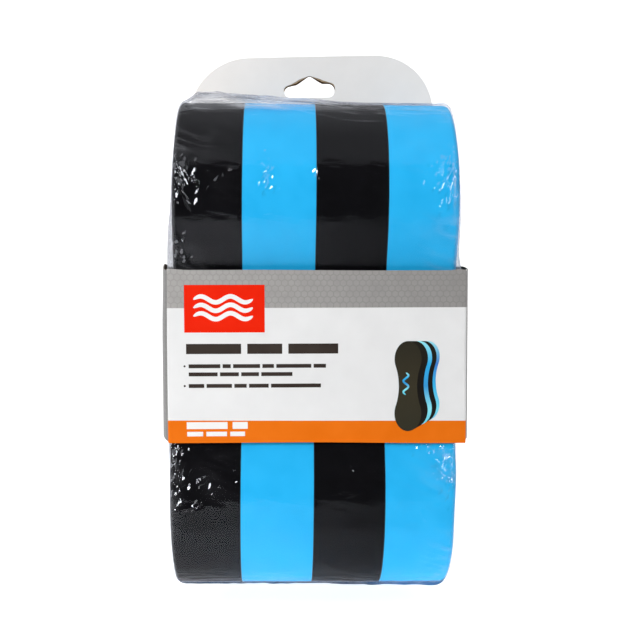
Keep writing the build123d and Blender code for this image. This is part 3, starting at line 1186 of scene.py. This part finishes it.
def picture_outline(depth):
    """Everything the little picture's float covers, from its near face down to a depth
    between 0 and 1, drawn without the far parts that the nearer ones hide."""
    half = half_outline(0, 28.5, 22, 14)
    ring = np.concatenate([half, half[-2:0:-1] * (-1, 1)])
    centre, top, near_wide, near_tall = 37.9, 3.6, 5.65, 18.95
    far_wide, far_tall = near_wide * (1 - 0.10 * depth), near_tall - 2.3 * depth
    near = ring * (near_wide / LOBE_RADIUS, near_tall / FLOAT_END)
    near += (centre, top - near_tall)
    far = ring * (far_wide / LOBE_RADIUS, far_tall / FLOAT_END)
    far += (centre + 8.2 * depth, top - far_tall)
    tangent = np.roll(near, -1, axis=0) - np.roll(near, 1, axis=0)
    outward = np.stack([tangent[:, 1], -tangent[:, 0]], 1)
    outward *= np.sign(np.sum(outward * (near - near.mean(axis=0)), axis=1).sum())
    ahead = np.sum(outward * (far - near), axis=1) > 0
    return [tuple(p) for p in np.where(ahead[:, None], far, near)]


def add_artwork():
    red = rectangle(-55.3, 7.5, -21.9, 27.3)
    add_print("print_red_block", [[red]], "red", 0)
    waves = [[wave_ribbon(-39.1, 17.8 + dz, 24.6, 1.25, 1.9)] for dz in (-3.5, 0, 3.5)]
    add_print("print_wave_mark", waves, "white_ink", 1)
    add_print("print_title", word_bars(-54.6, 0.66, 4.2, 4.15, (5.5, 3.5, 5)), "ink", 0)
    lines = word_bars(-53.6, -6.55, 1.6, 1.6, (8.2, 2.1, 7, 3, 9.1, 3.2))
    lines += word_bars(-53.6, -9.95, 1.6, 1.6, (7.5, 4.9, 4.6, 8.1))
    lines += word_bars(-53.6, -14.8, 1.6, 1.6, (4, 6.6, 3.2, 5.1, 13))
    lines += [[arc(-55.3, z, 0.45, 0, 342, 19)] for z in (-6.55, -14.8)]
    add_print("print_notes", lines, "ink", 0)
    fit = word_bars(-54.6, -31.4, 2.9, 3.4, (5, 1.85))
    fit += word_bars(-54.4, -34.95, 1.9, 2.2, (3, 3.9, 2.8))
    add_print("print_fit", fit, "white_ink", 0)
    picture = (("blue", "picture_blue", 1.0), ("black_far", "picture_black", 0.83))
    picture += (("light_blue", "picture_light", 0.58), ("black_near", "picture_black", 0.35))
    picture += (("face", "olive", 0.0),)
    for level, (part, material, depth) in enumerate(picture):
        add_print("print_picture_" + part, [[picture_outline(depth)]], material, level)
    mark = [[wave_ribbon(37.0, -14.3, 9.3, 1.05, 0.85, turned=True)]]
    add_print("print_picture_mark", mark, "picture_light", len(picture))


def paint_cad_nodes():
    """Materials for the CAD nodes that are shown as they are."""
    looks = {"bond_film": "bond", "sleeve_seam_glue": "glue"}
    for name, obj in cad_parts.items():
        for start, look in looks.items():
            if name.startswith(start):
                obj.data.materials.clear()
                obj.data.materials.append(MATERIALS[look])


# ---------------------------------------------------------------------------------------
# Camera, floor and lights.  Places are in millimetres from the float's middle.
# ---------------------------------------------------------------------------------------
SENSOR = 36.0
FOCAL = 66.15
DISTANCE = 526.0
ELEVATION = math.radians(3.7)
YAW = math.radians(1.9)
ROLL = math.radians(-0.1)
AIM = Vector((2.3, 0, 10.2))
FLOOR = -118.0
FLOOR_FRONT = -436.0
FLOOR_HALF = 1600.0
FLOOR_BEND = 700.0        # where the table starts to curve up
FLOOR_BEND_RADIUS = 400.0
FLOOR_RISE = 1800.0
FLOOR_GLOW_LEFT = 0.22
FLOOR_GLOW_RIGHT = 0.0
FLOOR_TONE = 0.88
FLOOR_TONE_RIGHT = 0.36
BACKDROP_GLOW = 0.70
ROOM_GLOW = 0.02
CEILING_POWER = 3.15
LEFT_POWER = 3.5
RIGHT_POWER = 0.95
LEFT_STRIP_POWER = 2.4
RIGHT_STRIP_POWER = 1.8


def add_camera():
    ahead = Vector(
        (
            math.sin(YAW) * math.cos(ELEVATION),
            math.cos(YAW) * math.cos(ELEVATION),
            -math.sin(ELEVATION),
        )
    )
    right = Vector((math.cos(YAW), -math.sin(YAW), 0))
    up = right.cross(ahead)
    turned_right = right * math.cos(ROLL) + up * math.sin(ROLL)
    turned_up = up * math.cos(ROLL) - right * math.sin(ROLL)
    turn = Matrix((turned_right, turned_up, -ahead)).transposed().to_4x4()
    data = bpy.data.cameras.new("camera")
    data.sensor_width = SENSOR
    data.lens = FOCAL
    data.clip_start = 0.01
    camera = bpy.data.objects.new("camera", data)
    camera.matrix_world = Matrix.Translation(CARD_PLACE @ (AIM - ahead * DISTANCE)) @ turn
    bpy.context.scene.collection.objects.link(camera)
    bpy.context.scene.camera = camera


def floor_material():
    """White, and glowing a little. It is darker in front of the object, out of view, and
    darkest to the right there."""
    mat, tree, shader = new_material("studio_white")
    place = split_vector(tree, object_place(tree))
    left, right = [(CARD_PLACE @ Vector((x, 0, 0))).x for x in (-60, 60)]
    near, far = [(CARD_PLACE @ Vector((0, y, 0))).y for y in (-120, -56)]
    front_glow = fading(tree, place["X"], left, right, FLOOR_GLOW_LEFT, FLOOR_GLOW_RIGHT)
    front_tone = fading(tree, place["X"], left, right, FLOOR_TONE, FLOOR_TONE_RIGHT)
    glow = fading(tree, place["Y"], near, far, front_glow, BACKDROP_GLOW)
    tone = fading(tree, place["Y"], near, far, front_tone, FLOOR_TONE)
    tone = math_node(tree, "MULTIPLY_ADD", grain(tree, 0.3, 2), 0.02, tone)
    put(tree, shader.inputs["Base Color"], tone)
    put(tree, shader.inputs["Roughness"], 0.9)
    put(tree, shader.inputs["Emission Color"], (1, 1, 1, 1))
    put(tree, shader.inputs["Emission Strength"], glow)
    return mat


def add_floor():
    """A pale table that curves up into a backdrop."""
    bend = arc(FLOOR_BEND, FLOOR + FLOOR_BEND_RADIUS, FLOOR_BEND_RADIUS, -90, 0, 16)
    profile = [(FLOOR_FRONT, FLOOR), *bend, (FLOOR_BEND + FLOOR_BEND_RADIUS, FLOOR + FLOOR_RISE)]
    verts = [(side * FLOOR_HALF, y, z) for y, z in profile for side in (-1, 1)]
    faces = [(2 * i, 2 * i + 1, 2 * i + 3, 2 * i + 2) for i in range(len(profile) - 1)]
    mesh = bpy.data.meshes.new("floor")
    mesh.from_pydata(verts, [], faces)
    mesh.transform(CARD_PLACE)
    mesh.materials.append(floor_material())
    mesh.polygons.foreach_set("use_smooth", [True] * len(faces))
    floor = bpy.data.objects.new("floor", mesh)
    bpy.context.scene.collection.objects.link(floor)


def add_panel_light(name, place, aim, wide, tall, power):
    data = bpy.data.lights.new(name, "AREA")
    data.shape = "RECTANGLE"
    data.size = wide * MM
    data.size_y = tall * MM
    data.energy = power
    light = bpy.data.objects.new(name, data)
    direction = Vector(aim) - Vector(place)
    light.rotation_euler = direction.to_track_quat("-Z", "Y").to_euler()
    light.location = CARD_PLACE @ Vector(place)
    bpy.context.scene.collection.objects.link(light)


def add_lights():
    """Soft lights in a dark room."""
    add_panel_light("ceiling", (-150, -80, 560), (-150, -80, 0), 1500, 1000, CEILING_POWER)
    add_panel_light("left_softbox", (-640, -680, 420), (0, 0, 10), 260, 420, LEFT_POWER)
    add_panel_light("right_softbox", (680, -640, 420), (0, 0, 10), 260, 420, RIGHT_POWER)
    add_panel_light("left_strip", (-370, -820, 310), (0, 0, 30), 60, 700, LEFT_STRIP_POWER)
    add_panel_light("right_strip", (410, -800, 310), (0, 0, 30), 70, 600, RIGHT_STRIP_POWER)
    world = bpy.data.worlds.new("room")
    world.use_nodes = True
    background = world.node_tree.nodes["Background"]
    background.inputs["Color"].default_value = (0.9, 0.93, 1, 1)
    background.inputs["Strength"].default_value = ROOM_GLOW
    bpy.context.scene.world = world
    bpy.context.scene.view_settings.view_transform = "Standard"


add_camera()
add_floor()
add_lights()
add_foam()
add_film()
add_seal()
add_sleeve()
add_facing()
add_header_glue()
add_slot_edge_shade()
add_artwork()
paint_cad_nodes()
